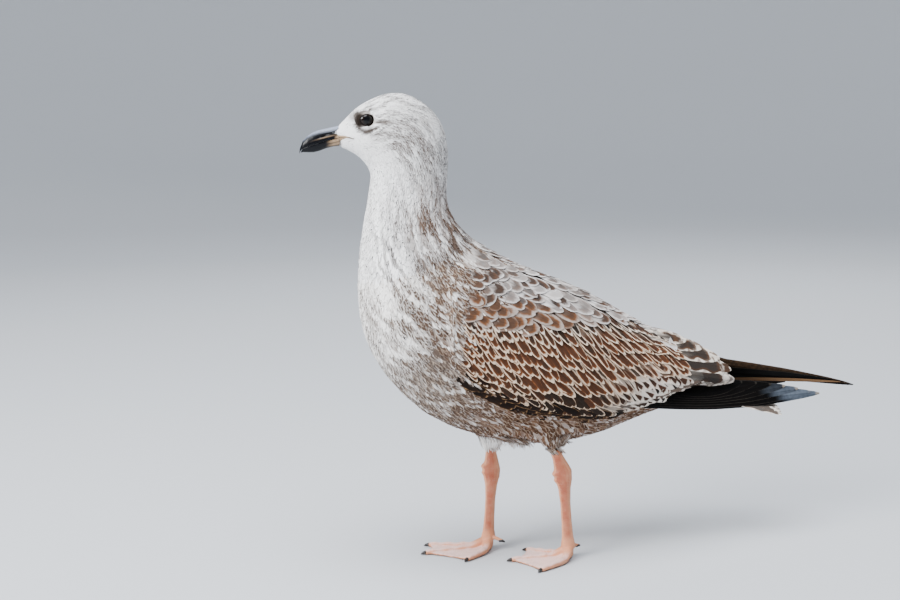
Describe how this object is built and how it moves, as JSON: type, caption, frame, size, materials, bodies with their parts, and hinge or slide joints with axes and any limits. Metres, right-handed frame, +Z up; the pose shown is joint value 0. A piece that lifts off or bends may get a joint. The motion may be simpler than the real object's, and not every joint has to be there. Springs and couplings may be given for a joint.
{
  "type": "seagull",
  "caption": "Life-size still model of a young herring gull standing on webbed feet with folded wings.",
  "frame": {"origin": "on the floor under the middle of the bird", "axes": "-X is the way the bird faces, +X toward its tail, -Y its left side, +Z up"},
  "size_m": [0.5463, 0.124, 0.4163],
  "materials": {
    "pale_plumage": "soft white feathers with fine grey-brown streaks",
    "mottled_plumage": "soft white feathers with grey-brown blotches",
    "brown_plumage": "brown feathers with pale buff fringes",
    "black_plumage": "black-brown flight feathers with a slight sheen",
    "bill_horn": "dark semi-gloss horn with a paler pinkish base",
    "eye": "wet glossy dark eye",
    "leg_skin": "flesh-pink scaly skin",
    "claw_horn": "black semi-gloss horn"
  },
  "bodies": {
    "root": {"head": "pale_plumage", "neck": "mottled_plumage", "trunk": "mottled_plumage", "tail_base": "pale_plumage", "tail_feathers": "brown_plumage", "wing_left": "brown_plumage", "wing_right": "brown_plumage", "tertials_left": "brown_plumage", "tertials_right": "brown_plumage", "primaries_left": "black_plumage", "primaries_right": "black_plumage", "thigh_left": "pale_plumage", "thigh_right": "pale_plumage", "bill_upper": "bill_horn", "bill_lower": "bill_horn", "eye_left": "eye", "eye_right": "eye", "leg_left": "leg_skin", "leg_right": "leg_skin", "foot_left": "leg_skin", "foot_right": "leg_skin", "hind_toe_left": "leg_skin", "hind_toe_right": "leg_skin", "claw_left_inner": "claw_horn", "claw_left_middle": "claw_horn", "claw_left_outer": "claw_horn", "claw_left_hind": "claw_horn", "claw_right_inner": "claw_horn", "claw_right_middle": "claw_horn", "claw_right_outer": "claw_horn", "claw_right_hind": "claw_horn"}
  },
  "joints": []
}
